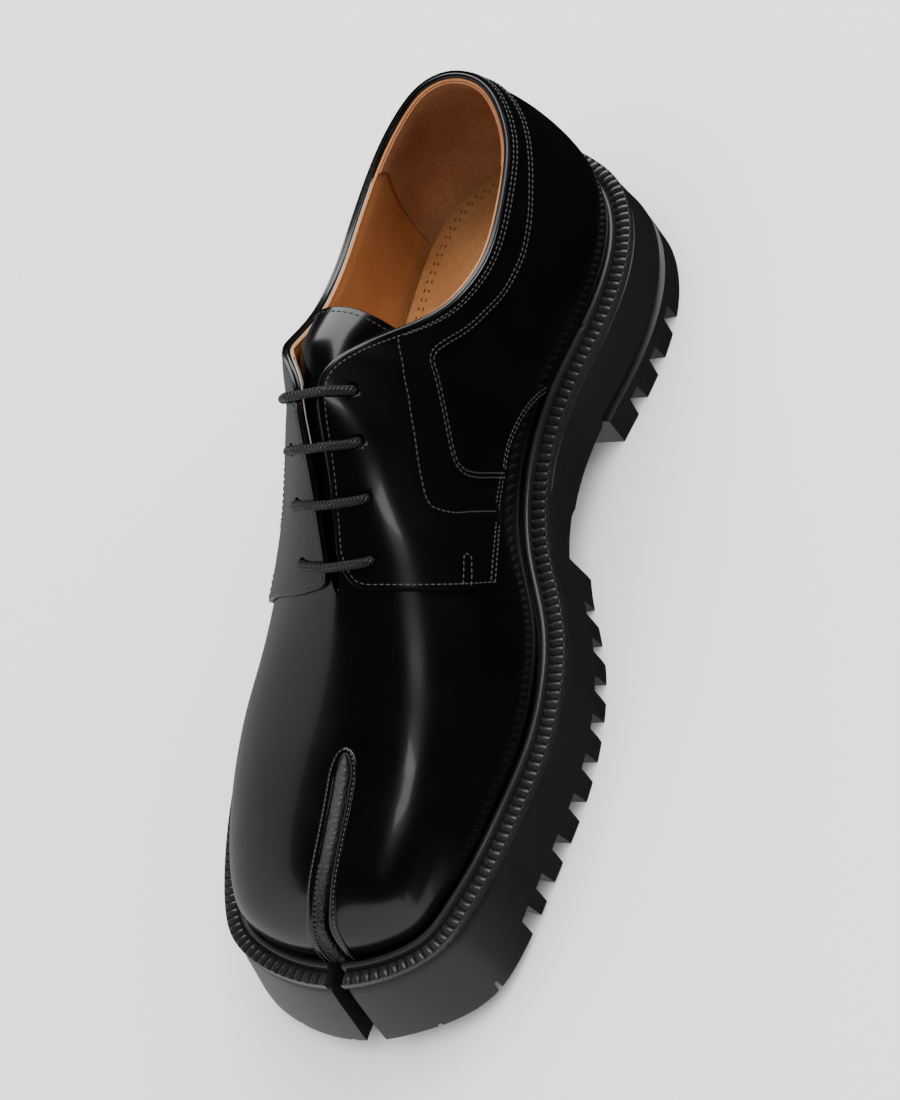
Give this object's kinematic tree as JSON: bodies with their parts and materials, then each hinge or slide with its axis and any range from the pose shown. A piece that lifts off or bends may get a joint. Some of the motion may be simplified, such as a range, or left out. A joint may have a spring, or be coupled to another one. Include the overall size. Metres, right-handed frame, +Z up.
{
  "type": "split-toe derby shoe",
  "caption": "Black polished leather split-toe derby for the right foot: hollow upper with laced facings and tongue, raised welt, thick lugged rubber sole and block heel.",
  "frame": {"origin": "on the floor, under the centre of the shoe's bounding box", "axes": "+Z up, +Y from the toe to the heel, +X to the medial side of the right shoe"},
  "size_m": [0.1106, 0.2997, 0.1263],
  "materials": {
    "rubber": "satin black moulded rubber",
    "welt": "satin black moulded welt strip",
    "polished_leather": "high gloss black polished leather",
    "soft_leather": "soft grained black leather",
    "lining": "smooth tan leather",
    "waxed_cord": "black waxed round cord"
  },
  "bodies": {
    "root": {"outsole": "rubber", "heel": "rubber", "welt": "welt", "insole": "lining", "upper": "polished_leather", "quarter_medial": "polished_leather", "quarter_lateral": "polished_leather", "tongue": "polished_leather", "split_gusset": "soft_leather", "lace_bar_1": "waxed_cord", "lace_bar_2": "waxed_cord", "lace_bar_3": "waxed_cord", "lace_bar_4": "waxed_cord"}
  },
  "joints": []
}
